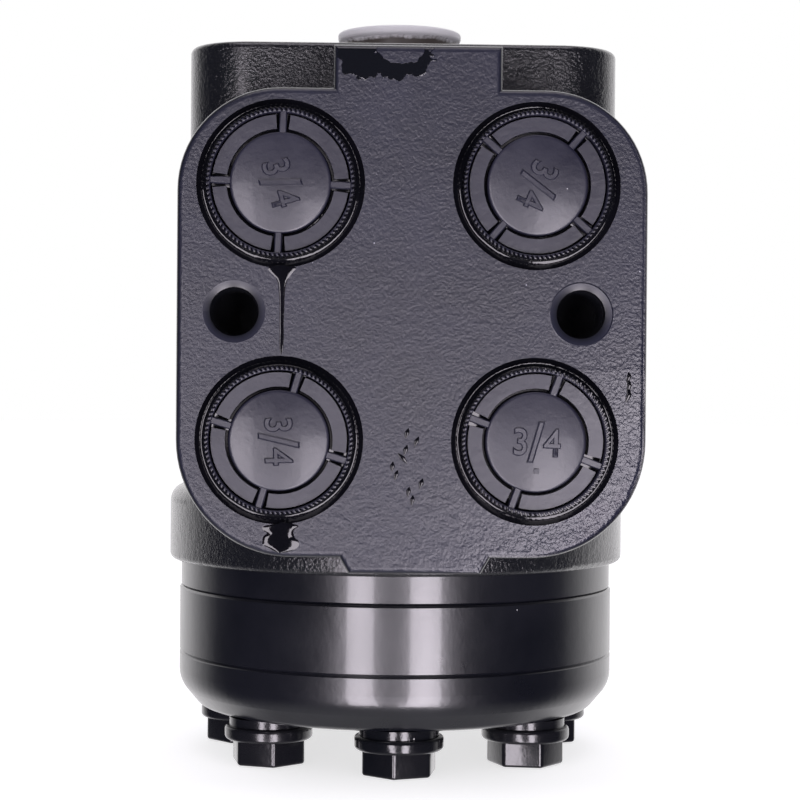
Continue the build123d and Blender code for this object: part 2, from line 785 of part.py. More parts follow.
# ---------------------------------------------------------------- port plugs
for place, (across, level) in port_places.items():
    mouth = Plane(origin=(across, -face_distance, level), x_dir=(1, 0, 0), z_dir=(0, -1, 0))
    seat = mouth.offset(-spotface_depth)
    rim_height = plug_proud + spotface_depth
    with BuildPart() as plug:
        with BuildSketch(seat):
            Circle(plug_rim_diameter / 2)
        extrude(amount=rim_height)
        with BuildSketch(mouth.offset(plug_proud)):
            Circle(plug_rim_diameter / 2 - plug_rim_wall)
        extrude(amount=-plug_pocket_depth, mode=Mode.SUBTRACT)
        floor = mouth.offset(plug_proud - plug_pocket_depth)
        with BuildSketch(floor):
            Circle(plug_disc_diameter / 2)
        extrude(amount=plug_pocket_depth - plug_disc_drop)
        with BuildSketch(floor):
            web_end = plug_rim_diameter / 2 - plug_rim_wall / 2
            with Locations(Location((0, 0, 0), plug_turns[place])):
                Rectangle(2 * web_end, plug_web)
                Rectangle(plug_web, 2 * web_end)
        extrude(amount=plug_pocket_depth - plug_web_drop)
        neck_length = plug_cord + 0.3
        with BuildSketch(seat):
            Circle(plug_neck_diameter / 2)
        extrude(amount=-neck_length)
        with BuildSketch(seat.offset(-neck_length)):
            Circle(plug_shank_diameter / 2)
        extrude(amount=-(plug_shank_length - neck_length))
        with BuildSketch(seat.offset(-plug_shank_length)):
            Circle(plug_shank_diameter / 2 - plug_shank_wall)
        extrude(amount=plug_shank_length, mode=Mode.SUBTRACT)
    save(plug, f"plug_{place}")

    with BuildPart() as plug_ring:
        ring_plane = seat.offset(-plug_cord / 2 - 0.05)
        with BuildSketch(Plane(origin=ring_plane.origin, x_dir=(1, 0, 0), z_dir=(0, 0, 1))):
            with Locations((plug_neck_diameter / 2 + plug_cord / 2 + fit, 0)):
                Circle(plug_cord / 2)
        revolve(axis=Axis(ring_plane.origin, (0, -1, 0)))
    save(plug_ring, f"plug_ring_{place}")

# ---------------------------------------------------------------- white cover on the input spline
cover_bottom = spool_top + side_clearance
with BuildPart() as spline_cover:
    disc(cover_diameter / 2, cover_bottom + cover_height, cover_bottom)
    fillet(spline_cover.faces().sort_by(Axis.Z)[-1].edges(), radius=cover_round)
    stem_radius = spline_tip_diameter / 2 - stem_clearance
    disc(stem_radius, cover_bottom, cover_bottom - cover_stem_length)
    disc(stem_radius - cover_wall, cover_bottom + cover_height - cover_wall,
         cover_bottom - cover_stem_length, Mode.SUBTRACT)
save(spline_cover, "spline_cover")
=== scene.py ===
# %% [markdown]
# An orbital steering unit: a painted iron valve housing with a square column flange, a port face
# with four plastic plugs, and below it a stack of turned steel discs held by seven collar screws.
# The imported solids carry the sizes. This script adds finishes, moulded plugs, threads and paint runs.

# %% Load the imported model
import json
import math
import random

import bmesh
import bpy
from mathutils import Matrix, Vector


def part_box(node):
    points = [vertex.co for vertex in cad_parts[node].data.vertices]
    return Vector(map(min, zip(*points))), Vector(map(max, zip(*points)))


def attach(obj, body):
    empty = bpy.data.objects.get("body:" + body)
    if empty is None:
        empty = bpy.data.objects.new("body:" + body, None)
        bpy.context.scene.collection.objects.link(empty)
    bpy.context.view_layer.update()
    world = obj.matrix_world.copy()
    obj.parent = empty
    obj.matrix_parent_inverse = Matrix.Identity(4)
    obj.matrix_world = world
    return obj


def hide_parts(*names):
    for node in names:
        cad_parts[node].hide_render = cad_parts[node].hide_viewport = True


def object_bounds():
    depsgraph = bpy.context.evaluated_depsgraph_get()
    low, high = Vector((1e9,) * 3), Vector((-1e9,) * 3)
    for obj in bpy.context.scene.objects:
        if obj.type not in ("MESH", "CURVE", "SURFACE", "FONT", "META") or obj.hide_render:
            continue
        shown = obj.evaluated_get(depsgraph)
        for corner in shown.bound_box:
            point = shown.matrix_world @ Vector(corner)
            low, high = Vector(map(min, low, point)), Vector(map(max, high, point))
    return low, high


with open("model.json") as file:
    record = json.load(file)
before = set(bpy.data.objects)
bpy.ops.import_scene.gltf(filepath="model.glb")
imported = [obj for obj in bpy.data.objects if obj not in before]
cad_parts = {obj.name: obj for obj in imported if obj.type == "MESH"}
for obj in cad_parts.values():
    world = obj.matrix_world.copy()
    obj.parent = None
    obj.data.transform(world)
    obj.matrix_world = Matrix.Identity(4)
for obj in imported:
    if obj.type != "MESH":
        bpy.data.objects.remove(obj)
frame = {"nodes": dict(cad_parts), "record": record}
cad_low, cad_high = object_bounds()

MM = 0.001
print("box in mm:", [round(v / MM, 1) for v in (*cad_low, *cad_high)])

# %% [markdown]
# Places on the part come first, in metres. The main axis is Z, the port face looks along -Y and the
# four ports stand in a square on it, with a tapped hole on either side. Four more tapped holes stand
# on a circle in the column face. Every later piece is placed from these numbers.

# %% Places on the part
face_y = -63.0 * MM
port_level = -50.4 * MM
port_step = 22.2 * MM
ports = {
    "upper_left": Vector((-port_step, face_y, port_level + port_step)),
    "upper_right": Vector((port_step, face_y, port_level + port_step)),
    "lower_left": Vector((-port_step, face_y, port_level - port_step)),
    "lower_right": Vector((port_step, face_y, port_level - port_step)),
}
hole_step = 30.1 * MM
column_radius = 41.25 * MM
floor_z = cad_low.z
print("ports:", {name: tuple(round(c, 4) for c in place) for name, place in ports.items()})

# %% [markdown]
# The camera stands level with the middle of the ports, a little to the left, 430 mm from the axis.
# Its long lens keeps the square flange nearly square. A rotation matrix takes the three directions
# of the picture as its columns: right, up, and back towards the viewer.

# %% Camera
distance = 430.0 * MM
camera_z = -61.59 * MM
yaw = math.radians(-1.69)
pan = math.radians(-0.09)
pitch = math.radians(0.61)
roll = math.radians(0.45)
sensor = 36.0
focal_share = 2117.56 / 800.0

turn = yaw + pan
ahead = Vector((-math.sin(turn) * math.cos(pitch), math.cos(turn) * math.cos(pitch), -math.sin(pitch)))
level_right = Vector((math.cos(turn), math.sin(turn), 0.0))
level_up = level_right.cross(ahead)
picture_right = level_right * math.cos(roll) + level_up * math.sin(roll)
picture_up = level_up * math.cos(roll) - level_right * math.sin(roll)

lens = bpy.data.cameras.new("portrait_lens")
lens.sensor_width = sensor
lens.lens = sensor * focal_share
lens.clip_start = 0.01
lens.clip_end = 50.0
camera = bpy.data.objects.new("camera", lens)
bpy.context.scene.collection.objects.link(camera)
spot = Vector((distance * math.sin(yaw), -distance * math.cos(yaw), camera_z))
axes = Matrix((picture_right, picture_up, -ahead)).transposed().to_4x4()
camera.matrix_world = Matrix.Translation(spot) @ axes
bpy.context.scene.camera = camera
bpy.context.scene.view_settings.view_transform = "Standard"
print("camera at", tuple(round(v, 4) for v in spot), "lens", round(lens.lens, 1))

# %% [markdown]
# Black gloss paint shows little but reflections, so the studio is most of the picture. Two upright
# soft boxes stand either side of the camera and draw two pale stripes down the round steel. The room
# between them is dark, so wet paint looks black there, while the satin port face scatters their light
# and turns grey. The backdrop behind the part is white and makes the silhouettes pale, and
# reflections that look down meet a dim floor.

# %% Soft boxes
def soft_box(name, place, width, height, radiance, colour):
    """A rectangular lamp that faces the middle of the part."""
    lamp = bpy.data.lights.new(name, "AREA")
    lamp.shape = "RECTANGLE"
    lamp.size = width
    lamp.size_y = height
    lamp.energy = radiance * width * height * math.pi
    lamp.color = colour
    holder = bpy.data.objects.new(name, lamp)
    bpy.context.scene.collection.objects.link(holder)
    toward = Vector((0.0, 0.0, port_level)) - Vector(place)
    holder.matrix_world = Matrix.Translation(place) @ toward.to_track_quat("-Z", "Y").to_matrix().to_4x4()
    return holder


violet_white = (0.98, 0.91, 1.0)
soft_box("box_left", (-0.34, -0.98, -0.40), width=0.26, height=1.00, radiance=8.0, colour=violet_white)
soft_box("box_right", (0.24, -0.98, -0.50), width=0.31, height=0.94, radiance=8.8, colour=violet_white)
soft_box("box_top", (0.0, -0.25, 0.95), width=0.80, height=0.60, radiance=1.4, colour=violet_white)

# %% Node helpers
def add(tree, kind, **values):
    """A node of that kind. Values name its own settings or its input sockets."""
    node = tree.nodes.new(kind)
    for key, value in values.items():
        if hasattr(node, key):
            setattr(node, key, value)
        else:
            node.inputs[key.replace("_", " ")].default_value = value
    return node


def join(tree, source, target, out=0, into=0):
    """A link from an output to an input, by place or by name."""
    tree.links.new(source.outputs[out], target.inputs[into])


def blended(tree, mask, low, high):
    """A colour mix by a mask socket. Low and high are colours or sockets."""
    node = tree.nodes.new("ShaderNodeMix")
    node.data_type = "RGBA"
    tree.links.new(mask, node.inputs[0])
    for place, value in ((6, low), (7, high)):
        if isinstance(value, tuple):
            node.inputs[place].default_value = (*value, 1.0)
        else:
            tree.links.new(value, node.inputs[place])
    return node.outputs[2]


def mixed(tree, mask, low, high):
    """A mix of two values by a mask. Low and high are numbers or sockets."""
    node = tree.nodes.new("ShaderNodeMix")
    tree.links.new(mask, node.inputs[0])
    for where, value in ((2, low), (3, high)):
        if isinstance(value, (int, float)):
            node.inputs[where].default_value = value
        else:
            tree.links.new(value, node.inputs[where])
    return node.outputs[0]


def ranged(tree, value, low, high, to_low=0.0, to_high=1.0):
    """A value mapped from one range to another and clamped."""
    node = tree.nodes.new("ShaderNodeMapRange")
    tree.links.new(value, node.inputs[0])
    for place, number in ((1, low), (2, high), (3, to_low), (4, to_high)):
        node.inputs[place].default_value = number
    return node.outputs[0]


def maths(tree, kind, first, second):
    """Two sockets, or a socket and a number, through a Math node."""
    node = tree.nodes.new("ShaderNodeMath")
    node.operation = kind
    for place, value in ((0, first), (1, second)):
        if isinstance(value, (int, float)):
            node.inputs[place].default_value = value
        else:
            tree.links.new(value, node.inputs[place])
    return node.outputs[0]


# %% World
world = bpy.data.worlds.new("studio")
bpy.context.scene.world = world
world.use_nodes = True
sky = world.node_tree
sky.nodes.clear()
rays = add(sky, "ShaderNodeLightPath")
white = add(sky, "ShaderNodeBackground", Strength=1.0)
white.inputs["Color"].default_value = (1.0, 1.0, 1.0, 1.0)
fill_strength = 0.42
fill = add(sky, "ShaderNodeBackground", Strength=fill_strength)
fill.inputs["Color"].default_value = (0.94, 0.92, 1.0, 1.0)
room = add(sky, "ShaderNodeBackground", Strength=1.0)
where = add(sky, "ShaderNodeTexCoord")
split = add(sky, "ShaderNodeSeparateXYZ")
join(sky, where, split, "Generated", 0)
backdrop_starts, backdrop_full = 0.22, 0.70
right_side_share = 0.12
floor_starts, floor_full, floor_share = -0.55, -0.95, 0.27
room_dark, backdrop_white = (0.018, 0.019, 0.030), (1.0, 0.98, 1.0)
to_the_right = maths(sky, "MULTIPLY", split.outputs["X"], right_side_share)
turned_back = maths(sky, "ADD", split.outputs["Y"], to_the_right)
behind = ranged(sky, turned_back, backdrop_starts, backdrop_full)
underneath = ranged(sky, split.outputs["Z"], floor_starts, floor_full, 0.0, floor_share)
pale = maths(sky, "MAXIMUM", behind, underneath)
sky.links.new(blended(sky, pale, room_dark, backdrop_white), room.inputs["Color"])
seen = maths(sky, "MAXIMUM", rays.outputs["Is Camera Ray"], rays.outputs["Is Transmission Ray"])
lit = add(sky, "ShaderNodeMixShader")
sky.links.new(rays.outputs["Is Glossy Ray"], lit.inputs[0])
sky.links.new(fill.outputs[0], lit.inputs[1])
sky.links.new(room.outputs[0], lit.inputs[2])
final = add(sky, "ShaderNodeMixShader")
sky.links.new(seen, final.inputs[0])
sky.links.new(lit.outputs[0], final.inputs[1])
sky.links.new(white.outputs[0], final.inputs[2])
out = add(sky, "ShaderNodeOutputWorld")
join(sky, final, out)
print("world nodes:", len(sky.nodes))

# %% [markdown]
# The floor is a plain white sheet under the screw heads. It keeps the soft shadow of the part. It is
# left out of reflections and casts no shadow itself, so the soft boxes also light the lower discs.

# %% Floor
def linked(name, bm):
    """A mesh object made from a bmesh, in the scene."""
    mesh = bpy.data.meshes.new(name)
    bm.to_mesh(mesh)
    bm.free()
    piece = bpy.data.objects.new(name, mesh)
    bpy.context.scene.collection.objects.link(piece)
    return piece


sheet_size = 3.0
bm = bmesh.new()
bmesh.ops.create_grid(bm, x_segments=1, y_segments=1, size=sheet_size)
bmesh.ops.translate(bm, verts=bm.verts, vec=(0.0, 0.0, floor_z - 0.2 * MM))
floor = linked("floor", bm)
floor.visible_glossy = False
floor.visible_shadow = False
paper = bpy.data.materials.new("white_paper")
paper.use_nodes = True
tree = paper.node_tree
shader = tree.nodes["Principled BSDF"]
shader.inputs["Base Color"].default_value = (0.97, 0.97, 0.97, 1.0)
shader.inputs["Roughness"].default_value = 0.9
rays = add(tree, "ShaderNodeLightPath")
paper_glow = 0.68
glow = add(tree, "ShaderNodeEmission", Strength=paper_glow)
both = add(tree, "ShaderNodeAddShader")
only_seen = add(tree, "ShaderNodeMixShader")
tree.links.new(shader.outputs[0], both.inputs[0])
tree.links.new(glow.outputs[0], both.inputs[1])
tree.links.new(rays.outputs["Is Camera Ray"], only_seen.inputs[0])
tree.links.new(shader.outputs[0], only_seen.inputs[1])
tree.links.new(both.outputs[0], only_seen.inputs[2])
tree.links.new(only_seen.outputs[0], tree.nodes["Material Output"].inputs[0])
floor.data.materials.append(paper)
print("floor at", round(floor_z / MM, 1), "mm")

# %% [markdown]
# Two effects come back in many finishes: the bumps of a surface, and scattered specks. Each is a
# node group, built once, with named inputs, so every material can set its own sizes.

# %% Group for surface bumps
def group_sockets(group, inputs, outputs):
    """Named sockets on a new node group. Inputs are (name, default)."""
    for name, default in inputs:
        socket = group.interface.new_socket(name, in_out="INPUT", socket_type="NodeSocketFloat")
        socket.default_value = default
    for name in outputs:
        group.interface.new_socket(name, in_out="OUTPUT", socket_type="NodeSocketFloat")
    return group.nodes.new("NodeGroupInput"), group.nodes.new("NodeGroupOutput")


grain = bpy.data.node_groups.new("surface_grain", "ShaderNodeTree")
grain_in, grain_out = group_sockets(
    grain,
    [("Coarse Scale", 450.0), ("Fine Scale", 1500.0), ("Coarse Amount", 0.6), ("Fine Amount", 0.4)],
    ["Height", "Cloud"],
)
place = add(grain, "ShaderNodeTexCoord")
coarse = add(grain, "ShaderNodeTexNoise", Detail=3.0, Roughness=0.55)
fine = add(grain, "ShaderNodeTexNoise", Detail=2.0, Roughness=0.5)
cloud = add(grain, "ShaderNodeTexNoise", Scale=60.0, Detail=4.0, Roughness=0.6)
for noise, name in ((coarse, "Coarse Scale"), (fine, "Fine Scale")):
    join(grain, place, noise, "Object", "Vector")
    join(grain, grain_in, noise, name, "Scale")
join(grain, place, cloud, "Object", "Vector")
low_part = maths(grain, "MULTIPLY", coarse.outputs[0], grain_in.outputs["Coarse Amount"])
high_part = maths(grain, "MULTIPLY", fine.outputs[0], grain_in.outputs["Fine Amount"])
grain.links.new(maths(grain, "ADD", low_part, high_part), grain_out.inputs["Height"])
grain.links.new(cloud.outputs[0], grain_out.inputs["Cloud"])
print("group:", grain.name, [s.name for s in grain.interface.items_tree])

# %% Group for specks
specks = bpy.data.node_groups.new("scattered_specks", "ShaderNodeTree")
specks_in, specks_out = group_sockets(
    specks,
    [("Scale", 160.0), ("Size", 0.05), ("Share", 0.3)],
    ["Mask"],
)
place = add(specks, "ShaderNodeTexCoord")
cells = add(specks, "ShaderNodeTexVoronoi")
join(specks, place, cells, "Object", "Vector")
join(specks, specks_in, cells, "Scale", "Scale")
near = maths(specks, "LESS_THAN", cells.outputs["Distance"], specks_in.outputs["Size"])
chosen = add(specks, "ShaderNodeSeparateXYZ")
join(specks, cells, chosen, "Color", 0)
picked = maths(specks, "LESS_THAN", chosen.outputs[0], specks_in.outputs["Share"])
specks.links.new(maths(specks, "MULTIPLY", near, picked), specks_out.inputs["Mask"])
print("group:", specks.name)

# %% [markdown]
# One function makes each finish. Base colour, roughness and bumps vary over the surface, while
# constants such as the refractive index stay on the shader's own sockets.

# %% Finish
def with_group(tree, group, **values):
    """A node group placed in a material, with its values."""
    node = tree.nodes.new("ShaderNodeGroup")
    node.node_tree = group
    for key, value in values.items():
        node.inputs[key.replace("_", " ")].default_value = value
    return node


def finish(name, dark, light, rough, bump, scales, amounts, metallic=0.0, ior=1.5, coat=0.0,
           speck=None, speck_values=None):
    """A material whose colour and roughness drift with a cloud, with bumps of two sizes."""
    material = bpy.data.materials.new(name)
    material.use_nodes = True
    tree = material.node_tree
    shader = tree.nodes["Principled BSDF"]
    skin = with_group(tree, grain, Coarse_Scale=scales[0], Fine_Scale=scales[1],
                      Coarse_Amount=amounts[0], Fine_Amount=amounts[1])
    cloud = ranged(tree, skin.outputs["Cloud"], 0.35, 0.65)
    colour = blended(tree, cloud, dark, light)
    if speck:
        dots = with_group(tree, specks, **(speck_values or {}))
        colour = blended(tree, dots.outputs["Mask"], colour, speck)
    tree.links.new(colour, shader.inputs["Base Color"])
    tree.links.new(ranged(tree, skin.outputs["Cloud"], 0.3, 0.7, *rough), shader.inputs["Roughness"])
    dents = add(tree, "ShaderNodeBump", Strength=1.0, Distance=bump)
    join(tree, skin, dents, "Height", "Height")
    join(tree, dents, shader, "Normal", "Normal")
    shader.inputs["Metallic"].default_value = metallic
    shader.inputs["IOR"].default_value = ior
    shader.inputs["Coat Weight"].default_value = coat
    shader.inputs["Coat Roughness"].default_value = 0.08
    return material


# %% Painted steel, screws, bare steel, rubber and plastic
painted_steel = finish(
    "painted_steel", dark=(0.002, 0.0024, 0.005), light=(0.004, 0.0044, 0.008), rough=(0.27, 0.33),
    bump=0.05 * MM, scales=(420.0, 1600.0), amounts=(0.7, 0.2), ior=1.8, coat=0.6,
    speck=(0.4, 0.4, 0.42), speck_values={"Scale": 55.0, "Size": 0.012, "Share": 0.25})
painted_screws = finish(
    "painted_screws", dark=(0.004, 0.0045, 0.006), light=(0.008, 0.008, 0.010), rough=(0.14, 0.24),
    bump=0.08 * MM, scales=(700.0, 1800.0), amounts=(0.5, 0.3), ior=1.6, coat=0.4,
    speck=(0.45, 0.44, 0.43), speck_values={"Scale": 420.0, "Size": 0.16, "Share": 0.02})
bare_steel = finish(
    "ground_steel", dark=(0.42, 0.42, 0.44), light=(0.58, 0.58, 0.60), rough=(0.20, 0.34),
    bump=0.01 * MM, scales=(900.0, 4000.0), amounts=(0.3, 0.7), metallic=1.0)
black_rubber = finish(
    "black_rubber", dark=(0.012, 0.012, 0.013), light=(0.022, 0.022, 0.023), rough=(0.42, 0.55),
    bump=0.03 * MM, scales=(800.0, 2600.0), amounts=(0.4, 0.6))
plug_plastic = finish(
    "plug_plastic", dark=(0.008, 0.008, 0.020), light=(0.018, 0.018, 0.034), rough=(0.33, 0.43),
    bump=0.08 * MM, scales=(420.0, 1300.0), amounts=(0.7, 0.3), ior=1.7, coat=0.15,
    speck=(0.5, 0.5, 0.52), speck_values={"Scale": 300.0, "Size": 0.035, "Share": 0.2})
wet_paint = finish(
    "wet_paint", dark=(0.002, 0.002, 0.003), light=(0.004, 0.004, 0.006), rough=(0.05, 0.10),
    bump=0.07 * MM, scales=(260.0, 900.0), amounts=(0.8, 0.2))
print("finishes:", [m.name for m in bpy.data.materials])

# %% [markdown]
# The casting gets one material with regions. The port face is milled before painting, so the paint
# lies on it as fine orange peel, coarser towards the bottom where more paint ran. Everywhere else the
# sand-cast skin shows through as coarse dents, and the tapped holes are smooth. Each region is a mask
# made from the coordinates, because one casting can't be cut into pieces for its finish.

# %% Painted casting
cast_paint = bpy.data.materials.new("cast_paint")
cast_paint.use_nodes = True
tree = cast_paint.node_tree
shader = tree.nodes["Principled BSDF"]
place = add(tree, "ShaderNodeTexCoord")
split = add(tree, "ShaderNodeSeparateXYZ")
join(tree, place, split, "Object", 0)
on_face = ranged(tree, split.outputs["Y"], face_y + 0.5 * MM, face_y + 0.1 * MM)
recess = ranged(tree, split.outputs["Y"], face_y + 2.2 * MM, face_y + 2.0 * MM)
peel = with_group(tree, grain, Coarse_Scale=620.0, Fine_Scale=1900.0, Fine_Amount=0.55)
peel_amount = ranged(tree, split.outputs["Z"], -64.0 * MM, -88.0 * MM, 0.45, 1.1)
tree.links.new(peel_amount, peel.inputs["Coarse Amount"])
sand = with_group(tree, grain, Coarse_Scale=700.0, Fine_Scale=2000.0, Coarse_Amount=1.6, Fine_Amount=1.3)
dots = with_group(tree, specks, Scale=300.0, Size=0.036, Share=0.22)
print("regions: port face, recess, casting skin")

# %% Mask of the tapped holes
hole_edge = 5.4 * MM
hole_fade = 5.6 * MM
hole_bottom = 19.5 * MM
aside = maths(tree, "SUBTRACT", maths(tree, "ABSOLUTE", split.outputs["X"], 0.0), hole_step)
below = maths(tree, "SUBTRACT", split.outputs["Z"], port_level)
reach = maths(tree, "ADD", maths(tree, "MULTIPLY", aside, aside), maths(tree, "MULTIPLY", below, below))
past_hole = ranged(tree, split.outputs["Y"], face_y + hole_bottom, face_y + hole_bottom + MM)
outside_hole = maths(tree, "MAXIMUM", ranged(tree, reach, hole_edge ** 2, hole_fade ** 2), past_hole)
print("hole mask:", hole_edge / MM, "mm round each tapped hole")

# %% Mask of the wet patch
def oval(tree, middle, halves, ragged):
    """How far a point of the port face is from the middle of an oval, where 1 is the rim of the oval."""
    total = ragged
    for axis, centre, half in (("X", middle[0], halves[0]), ("Z", middle[1], halves[1])):
        share = maths(tree, "DIVIDE", maths(tree, "SUBTRACT", split.outputs[axis], centre), half)
        total = maths(tree, "ADD", total, maths(tree, "MULTIPLY", share, share))
    return total


torn = with_group(tree, grain, Coarse_Scale=230.0, Fine_Scale=700.0, Coarse_Amount=0.7, Fine_Amount=0.3)
ragged = ranged(tree, torn.outputs["Height"], 0.3, 0.7, -0.55, 0.55)
outer_oval = oval(tree, (-4.0 * MM, -4.0 * MM), (9.5 * MM, 6.6 * MM), ragged)
inner_oval = oval(tree, (-1.6 * MM, -4.0 * MM), (4.6 * MM, 3.2 * MM), ragged)
outer = ranged(tree, outer_oval, 0.96, 0.90)
inner = ranged(tree, inner_oval, 0.90, 0.96)
puddle = maths(tree, "MULTIPLY", on_face, maths(tree, "MULTIPLY", outer, inner))
print("wet patch on the neck of the port face")

# %% Colour of the casting, with a painted blue sheen on the port face
clouded = ranged(tree, peel.outputs["Cloud"], 0.30, 0.65, 0.6, 1.0)
# The blue on the port face is a painted reflection, a sheen put into the base colour. The paint there is
# the same black as on the rest of the casting.
painted_sheen_share = maths(tree, "MULTIPLY", on_face, clouded)
painted_sheen_share = maths(tree, "MULTIPLY", painted_sheen_share, maths(tree, "SUBTRACT", 1.0, puddle))
paint_black, painted_sheen_blue, bare_speck = (0.005, 0.0055, 0.0075), (0.013, 0.0140, 0.030), (0.35, 0.35, 0.4)
tint = blended(tree, painted_sheen_share, paint_black, painted_sheen_blue)
tree.links.new(blended(tree, dots.outputs["Mask"], tint, bare_speck), shader.inputs["Base Color"])
print("colour: black, with a blue tint on the port face")

# %% Relief of the casting
smooth_level, puddle_level = 0.5, 0.9
paint_crown = 3500.0
relief = 0.16 * MM
rough_skin = mixed(tree, recess, sand.outputs["Height"], smooth_level)
skin = mixed(tree, on_face, rough_skin, peel.outputs["Height"])
plain_until = ranged(tree, split.outputs["Z"], -60.0 * MM, -88.0 * MM, 14.0 * MM, -10.0 * MM)
past_plain = maths(tree, "MAXIMUM", maths(tree, "SUBTRACT", split.outputs["X"], plain_until), 0.0)
roll_off = maths(tree, "MULTIPLY", maths(tree, "MULTIPLY", past_plain, past_plain), -paint_crown)
rolled = maths(tree, "ADD", skin, maths(tree, "MULTIPLY", roll_off, on_face))
height = mixed(tree, puddle, mixed(tree, outside_hole, smooth_level, rolled), puddle_level)
dents = add(tree, "ShaderNodeBump", Strength=1.0, Distance=relief)
tree.links.new(height, dents.inputs["Height"])
join(tree, dents, shader, "Normal", "Normal")
print("relief up to", relief / MM, "mm")

# %% Gloss of the casting
skin_gloss = ranged(tree, peel.outputs["Cloud"], 0.3, 0.7, 0.22, 0.30)
face_gloss = ranged(tree, peel.outputs["Cloud"], 0.3, 0.7, 0.36, 0.42)
corner_slope = -0.8
lean = maths(tree, "MULTIPLY", split.outputs["Z"], corner_slope)
towards_corner = maths(tree, "ADD", split.outputs["X"], lean)
wetter = ranged(tree, towards_corner, 68.0 * MM, 94.0 * MM, 0.0, 0.15)
gloss = mixed(tree, on_face, skin_gloss, maths(tree, "SUBTRACT", face_gloss, wetter))
puddle_roughness = 0.05
tree.links.new(mixed(tree, puddle, gloss, puddle_roughness), shader.inputs["Roughness"])
shader.inputs["IOR"].default_value = 1.62
skin_coat = 0.9
sealed = mixed(tree, outside_hole, 0.0, skin_coat)
tree.links.new(mixed(tree, on_face, sealed, 0.0), shader.inputs["Coat Weight"])
shader.inputs["Coat Roughness"].default_value = 0.22
shader.inputs["Coat IOR"].default_value = 1.7
print("casting paint nodes:", len(tree.nodes))

# %% [markdown]
# The cover on the input is soft white plastic. The collar under its lid is coloured a mottled
# brown-grey, while the lid and the stem inside the unit stay white.

# %% White cover
cover_plastic = bpy.data.materials.new("cover_plastic")
cover_plastic.use_nodes = True
tree = cover_plastic.node_tree
shader = tree.nodes["Principled BSDF"]
place = add(tree, "ShaderNodeTexCoord")
split = add(tree, "ShaderNodeSeparateXYZ")
join(tree, place, split, "Object", 0)
cover_mottle = with_group(tree, grain, Coarse_Scale=260.0, Fine_Scale=1400.0, Coarse_Amount=0.7, Fine_Amount=0.3)
wander = ranged(tree, cover_mottle.outputs["Height"], 0.3, 0.7, -0.5 * MM, 0.5 * MM)
lifted = maths(tree, "ADD", split.outputs["Z"], wander)
# The collar below the lid takes a mottled brown-grey colour. The lid and the stem inside stay white.
lid_is_white = ranged(tree, lifted, 5.3 * MM, 6.0 * MM)
stem_is_white = ranged(tree, lifted, 1.0 * MM, 0.4 * MM)
white_mask = maths(tree, "MAXIMUM", lid_is_white, stem_is_white)
collar_brown_grey, white_plastic = (0.10, 0.085, 0.075), (0.92, 0.91, 0.93)
tree.links.new(blended(tree, white_mask, collar_brown_grey, white_plastic), shader.inputs["Base Color"])
tree.links.new(ranged(tree, cover_mottle.outputs["Cloud"], 0.3, 0.7, 0.34, 0.48), shader.inputs["Roughness"])
dents = add(tree, "ShaderNodeBump", Strength=1.0, Distance=0.05 * MM)
join(tree, cover_mottle, dents, "Height", "Height")
join(tree, dents, shader, "Normal", "Normal")
shader.inputs["Subsurface Weight"].default_value = 0.15
shader.inputs["Subsurface Radius"].default_value = (2.0 * MM, 2.0 * MM, 2.0 * MM)
print("cover nodes:", len(tree.nodes))

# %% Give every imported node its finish
finish_of_slot = {
    "cast_paint": cast_paint,
    "steel_paint": painted_steel,
    "screw_paint": painted_screws,
    "ground_steel": bare_steel,
    "rubber": black_rubber,
    "plug_plastic": plug_plastic,
    "cover_plastic": cover_plastic,
}
slot_of_node = {row["node"]: row["material_slot"] for row in frame["record"]["subparts"]}
for name, node in frame["nodes"].items():
    node.data.materials.clear()
    node.data.materials.append(finish_of_slot[slot_of_node[name]])
print("nodes with a finish:", len(frame["nodes"]))

# %% [markdown]
# The plugs are moulded plastic, and moulded edges are never sharp. Each one is spun from half its
# section, its rings of edges are bevelled, and then the webs, the grip ribs on the rim and the raised
# size number are added. The piece is built lying flat with +Z as its outside, then stood in its port.

# %% Spin one plug body
rim_radius = 12.9 * MM
rim_inner = 12.1 * MM
rim_top = 2.2 * MM
disc_radius = 8.7 * MM
disc_top = 1.95 * MM
seat_level = -1.0 * MM
pocket_floor = -0.7 * MM
plug_section = [
    (0.0, disc_top), (disc_radius - 0.5 * MM, disc_top), (disc_radius, disc_top - 0.15 * MM),
    (disc_radius, pocket_floor),
    (rim_inner, pocket_floor), (rim_inner, rim_top), (rim_radius, rim_top), (rim_radius, seat_level),
    (8.2 * MM, seat_level), (8.2 * MM, -3.1 * MM), (8.6 * MM, -3.1 * MM), (8.6 * MM, -10.0 * MM),
    (7.1 * MM, -10.0 * MM), (7.1 * MM, seat_level), (0.0, seat_level),
]
spin_steps = 96
merge_within = 0.01 * MM
sharp = math.radians(35)


def spun(section, steps):
    """Half a section, as points of radius and height, spun round Z."""
    bm = bmesh.new()
    points = [bm.verts.new((r, 0.0, z)) for r, z in section]
    for first, second in zip(points, points[1:]):
        bm.edges.new((first, second))
    bmesh.ops.spin(bm, geom=bm.verts[:] + bm.edges[:], cent=(0, 0, 0), axis=(0, 0, 1), dvec=(0, 0, 0),
                   angle=2 * math.pi, steps=steps, use_merge=True, use_duplicate=False)
    bmesh.ops.remove_doubles(bm, verts=bm.verts, dist=merge_within)
    return bm


def moulded(section, edge, segments):
    """A spun body with its sharp rings bevelled, as moulded plastic has them."""
    bm = spun(section, spin_steps)
    bmesh.ops.recalc_face_normals(bm, faces=bm.faces)
    rings = [e for e in bm.edges if len(e.link_faces) == 2 and e.calc_face_angle() > sharp]
    bmesh.ops.bevel(bm, geom=rings, offset=edge, offset_type="OFFSET", segments=segments, profile=0.5,
                    affect="EDGES", material=-1)
    return bm


